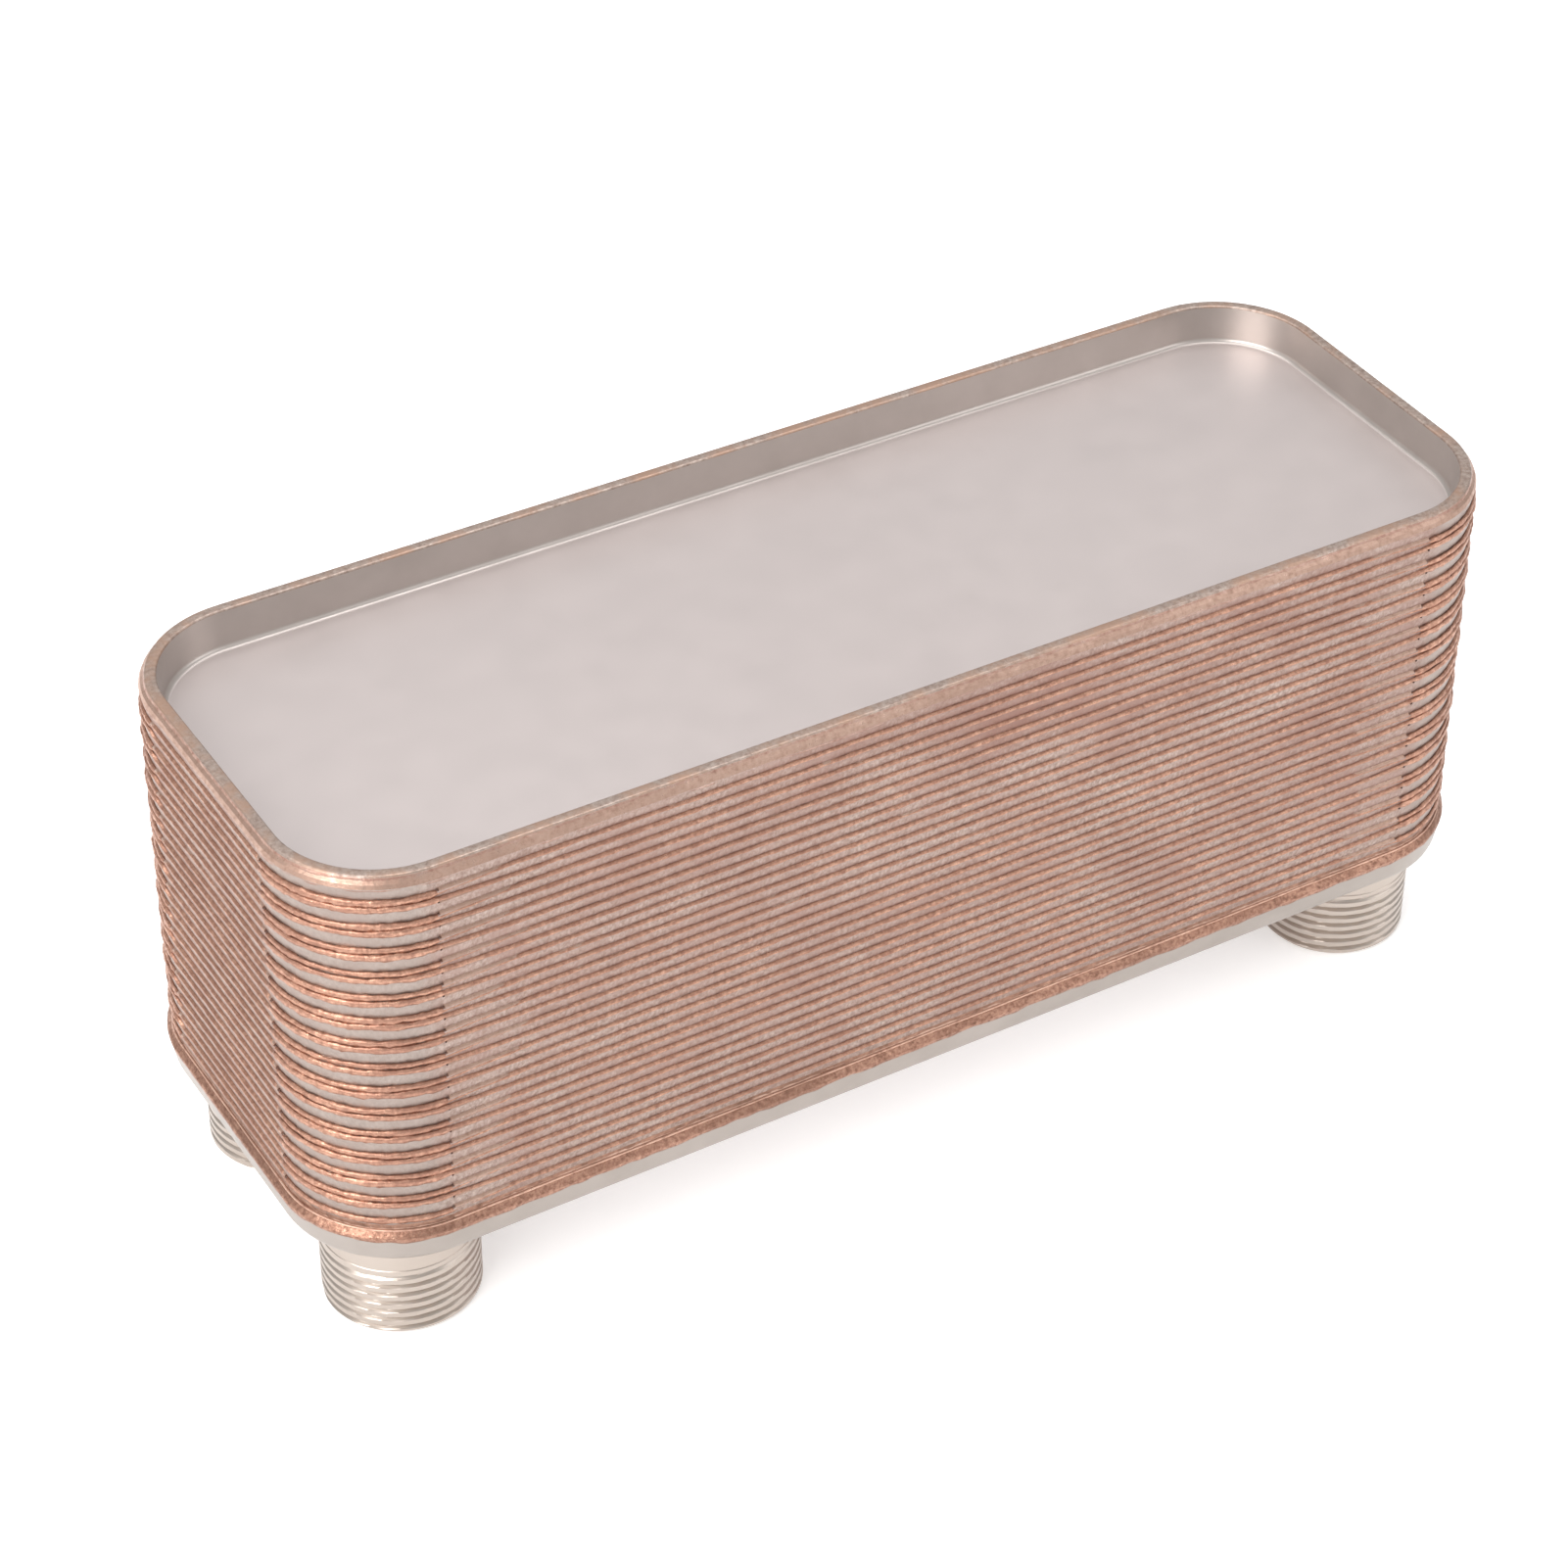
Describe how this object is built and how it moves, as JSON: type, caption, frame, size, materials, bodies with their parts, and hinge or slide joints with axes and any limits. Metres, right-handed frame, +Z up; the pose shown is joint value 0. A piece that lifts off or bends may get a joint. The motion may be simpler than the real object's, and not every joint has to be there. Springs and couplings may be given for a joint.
{
  "type": "plate heat exchanger",
  "caption": "Copper-brazed plate heat exchanger of nested stainless plates between two covers, with threaded pipe stubs below.",
  "frame": {"origin": "middle of the footprint, level with the mouths of the pipe stubs", "axes": "+Z up through the plate stack towards the rear cover, +X along the length, stubs pointing down"},
  "size_m": [0.2288, 0.0822, 0.098],
  "materials": {
    "plate_steel": "satin",
    "cover_steel": "satin",
    "stub_steel": "satin",
    "braze_copper": "satin"
  },
  "bodies": {
    "root": {"front_cover_plate": "cover_steel", "rear_cover_plate": "cover_steel", "front_seal_plate": "plate_steel", "rear_seal_plate": "plate_steel", "channel_plate_02": "plate_steel", "channel_plate_03": "plate_steel", "channel_plate_04": "plate_steel", "channel_plate_05": "plate_steel", "channel_plate_06": "plate_steel", "channel_plate_07": "plate_steel", "channel_plate_08": "plate_steel", "channel_plate_09": "plate_steel", "channel_plate_10": "plate_steel", "channel_plate_11": "plate_steel", "channel_plate_12": "plate_steel", "channel_plate_13": "plate_steel", "channel_plate_14": "plate_steel", "channel_plate_15": "plate_steel", "channel_plate_16": "plate_steel", "channel_plate_17": "plate_steel", "channel_plate_18": "plate_steel", "channel_plate_19": "plate_steel", "channel_plate_20": "plate_steel", "channel_plate_21": "plate_steel", "channel_plate_22": "plate_steel", "channel_plate_23": "plate_steel", "channel_plate_24": "plate_steel", "channel_plate_25": "plate_steel", "channel_plate_26": "plate_steel", "channel_plate_27": "plate_steel", "channel_plate_28": "plate_steel", "channel_plate_29": "plate_steel", "pipe_stub_left_front": "stub_steel", "pipe_stub_right_front": "stub_steel", "pipe_stub_left_rear": "stub_steel", "pipe_stub_right_rear": "stub_steel", "stub_braze_left_front": "braze_copper", "stub_braze_right_front": "braze_copper", "stub_braze_left_rear": "braze_copper", "stub_braze_right_rear": "braze_copper", "braze_copper_01": "braze_copper", "braze_copper_02": "braze_copper", "braze_copper_03": "braze_copper", "braze_copper_04": "braze_copper", "braze_copper_05": "braze_copper", "braze_copper_06": "braze_copper", "braze_copper_07": "braze_copper", "braze_copper_08": "braze_copper", "braze_copper_09": "braze_copper", "braze_copper_10": "braze_copper", "braze_copper_11": "braze_copper", "braze_copper_12": "braze_copper", "braze_copper_13": "braze_copper", "braze_copper_14": "braze_copper", "braze_copper_15": "braze_copper", "braze_copper_16": "braze_copper"}
  },
  "joints": []
}
